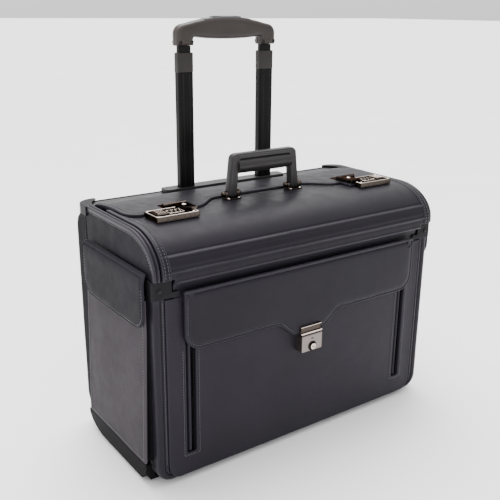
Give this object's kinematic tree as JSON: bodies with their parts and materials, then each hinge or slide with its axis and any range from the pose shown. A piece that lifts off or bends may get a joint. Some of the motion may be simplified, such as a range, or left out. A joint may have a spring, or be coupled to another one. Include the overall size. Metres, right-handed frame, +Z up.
{
  "type": "pilot flight case",
  "caption": "Rolling leatherette pilot case with a curved two-part top, combination locks, carry handle, outside pockets and a pull-out trolley.",
  "frame": {"origin": "on the floor, under the centre of the overall box", "axes": "+Z up, -Y out of the front pocket, +X to the right of someone facing the front"},
  "size_m": [0.5, 0.2384, 0.5846],
  "materials": {
    "leatherette": "pebble-grained black leatherette, semi-gloss",
    "black_plastic": "black moulded plastic, fine texture",
    "board": "stiff lining board, dull black cloth face",
    "gunmetal": "dark bronze plated, polished",
    "nickel": "dark nickel, polished",
    "black_aluminium": "black anodised, satin",
    "grip_plastic": "charcoal plastic, soft sheen",
    "rubber": "black rubber",
    "steel": "bright steel"
  },
  "bodies": {
    "case": {"base_tray": "black_plastic", "front_board": "board", "front_frame": "leatherette", "front_pocket_panel": "leatherette", "side_panel_left": "leatherette", "side_panel_right": "leatherette", "rear_panel": "leatherette", "trolley_cover_board": "board", "front_hinge_rail": "black_plastic", "rear_hinge_rail": "black_plastic", "front_bracket_left": "gunmetal", "front_bracket_right": "gunmetal", "rear_bracket_left": "gunmetal", "rear_bracket_right": "gunmetal", "trolley_guide_frame": "black_aluminium", "trolley_bezel": "black_plastic", "pocket_lock_body": "nickel", "side_pocket_left": "leatherette", "side_pocket_right": "leatherette", "wheel_housing_left": "black_plastic", "wheel_housing_right": "black_plastic", "axle_left": "steel", "axle_right": "steel", "front_foot_left": "rubber", "front_foot_right": "rubber"},
    "pocket_lock_barrel": {"pocket_lock_barrel": "nickel"},
    "front_flap": {"front_flap": "leatherette", "flap_catch": "nickel"},
    "front_lid": {"front_lid_shell": "leatherette", "lock_body_left": "gunmetal", "lock_body_right": "gunmetal", "handle_bracket_left": "gunmetal", "handle_bracket_right": "gunmetal"},
    "carry_handle": {"handle_frame": "leatherette", "handle_grip": "leatherette"},
    "rear_lid": {"rear_lid_shell": "leatherette", "hasp_plate_left": "gunmetal", "hasp_plate_right": "gunmetal"},
    "trolley_lower": {"stage1_tube_left": "black_aluminium", "stage1_tube_right": "black_aluminium"},
    "trolley_upper": {"trolley_grip": "grip_plastic", "stage2_tube_left": "black_aluminium", "stage2_tube_right": "black_aluminium"},
    "trolley_button": {"trolley_button": "black_plastic"},
    "lock_slide_left": {"lock_slide_left": "nickel"},
    "hasp_left": {"hasp_left": "nickel"},
    "side_flap_left": {"side_flap_left": "leatherette"},
    "wheel_left": {"wheel_hub_left": "black_plastic", "wheel_tyre_left": "rubber"},
    "dial_left_1": {"dial_left_1": "nickel"},
    "dial_left_2": {"dial_left_2": "nickel"},
    "dial_left_3": {"dial_left_3": "nickel"},
    "lock_slide_right": {"lock_slide_right": "nickel"},
    "hasp_right": {"hasp_right": "nickel"},
    "side_flap_right": {"side_flap_right": "leatherette"},
    "wheel_right": {"wheel_hub_right": "black_plastic", "wheel_tyre_right": "rubber"},
    "dial_right_1": {"dial_right_1": "nickel"},
    "dial_right_2": {"dial_right_2": "nickel"},
    "dial_right_3": {"dial_right_3": "nickel"}
  },
  "joints": [
    {"name": "front_lid_hinge", "type": "hinge", "parent": "case", "child": "front_lid", "pos_m": [0, -0.11175, 0.2815], "axis": [1, 0, 0], "range_deg": [0, 165]},
    {"name": "rear_lid_hinge", "type": "hinge", "parent": "case", "child": "rear_lid", "pos_m": [0, 0.09055, 0.341], "axis": [1, 0, 0], "range_deg": [-78, 0]},
    {"name": "front_flap_hinge", "type": "hinge", "parent": "case", "child": "front_flap", "pos_m": [0, -0.10275, 0.271], "axis": [1, 0, 0], "range_deg": [-100, 0]},
    {"name": "pocket_lock_turn", "type": "hinge", "parent": "case", "child": "pocket_lock_barrel", "pos_m": [0, -0.11925, 0.1495], "axis": [0, 1, 0], "range_deg": [0, 90]},
    {"name": "side_flap_left_hinge", "type": "hinge", "parent": "case", "child": "side_flap_left", "pos_m": [-0.2386, 0.00975, 0.2985], "axis": [0, 1, 0], "range_deg": [0, 95]},
    {"name": "side_flap_right_hinge", "type": "hinge", "parent": "case", "child": "side_flap_right", "pos_m": [0.2386, 0.00975, 0.2985], "axis": [0, 1, 0], "range_deg": [-95, 0]},
    {"name": "carry_handle_fold", "type": "hinge", "parent": "front_lid", "child": "carry_handle", "pos_m": [0, 0.00575, 0.3495], "axis": [1, 0, 0], "range_deg": [0, 75]},
    {"name": "lock_slide_left_push", "type": "slide", "parent": "front_lid", "child": "lock_slide_left", "axis": [1, 0, 0], "range_m": [-0.0035, 0], "stiffness_N_per_m": 300},
    {"name": "dial_left_1_turn", "type": "hinge", "parent": "front_lid", "child": "dial_left_1", "pos_m": [-0.1615, -0.03425, 0.3486], "axis": [1, 0, 0], "continuous": true},
    {"name": "dial_left_2_turn", "type": "hinge", "parent": "front_lid", "child": "dial_left_2", "pos_m": [-0.1675, -0.03425, 0.3486], "axis": [1, 0, 0], "continuous": true},
    {"name": "dial_left_3_turn", "type": "hinge", "parent": "front_lid", "child": "dial_left_3", "pos_m": [-0.1735, -0.03425, 0.3486], "axis": [1, 0, 0], "continuous": true},
    {"name": "hasp_left_hinge", "type": "hinge", "parent": "rear_lid", "child": "hasp_left", "pos_m": [-0.151, -0.00425, 0.3507], "axis": [1, 0, 0], "range_deg": [-110, 0]},
    {"name": "lock_slide_right_push", "type": "slide", "parent": "front_lid", "child": "lock_slide_right", "axis": [1, 0, 0], "range_m": [0, 0.0035], "stiffness_N_per_m": 300},
    {"name": "dial_right_1_turn", "type": "hinge", "parent": "front_lid", "child": "dial_right_1", "pos_m": [0.1615, -0.03425, 0.3486], "axis": [1, 0, 0], "continuous": true},
    {"name": "dial_right_2_turn", "type": "hinge", "parent": "front_lid", "child": "dial_right_2", "pos_m": [0.1675, -0.03425, 0.3486], "axis": [1, 0, 0], "continuous": true},
    {"name": "dial_right_3_turn", "type": "hinge", "parent": "front_lid", "child": "dial_right_3", "pos_m": [0.1735, -0.03425, 0.3486], "axis": [1, 0, 0], "continuous": true},
    {"name": "hasp_right_hinge", "type": "hinge", "parent": "rear_lid", "child": "hasp_right", "pos_m": [0.151, -0.00425, 0.3507], "axis": [1, 0, 0], "range_deg": [-110, 0]},
    {"name": "trolley_lower_slide", "type": "slide", "parent": "case", "child": "trolley_lower", "axis": [0, 0, 1], "range_m": [-0.187, 0]},
    {"name": "trolley_upper_slide", "type": "slide", "parent": "trolley_lower", "child": "trolley_upper", "axis": [0, 0, 1], "range_m": [-0.009, 0.19]},
    {"name": "trolley_button_press", "type": "slide", "parent": "trolley_upper", "child": "trolley_button", "axis": [0, 0, 1], "range_m": [-0.004, 0], "stiffness_N_per_m": 400, "springref_m": 0.001},
    {"name": "wheel_left_roll", "type": "hinge", "parent": "case", "child": "wheel_left", "pos_m": [-0.206, 0.08575, 0.019], "axis": [1, 0, 0], "continuous": true},
    {"name": "wheel_right_roll", "type": "hinge", "parent": "case", "child": "wheel_right", "pos_m": [0.206, 0.08575, 0.019], "axis": [1, 0, 0], "continuous": true}
  ]
}
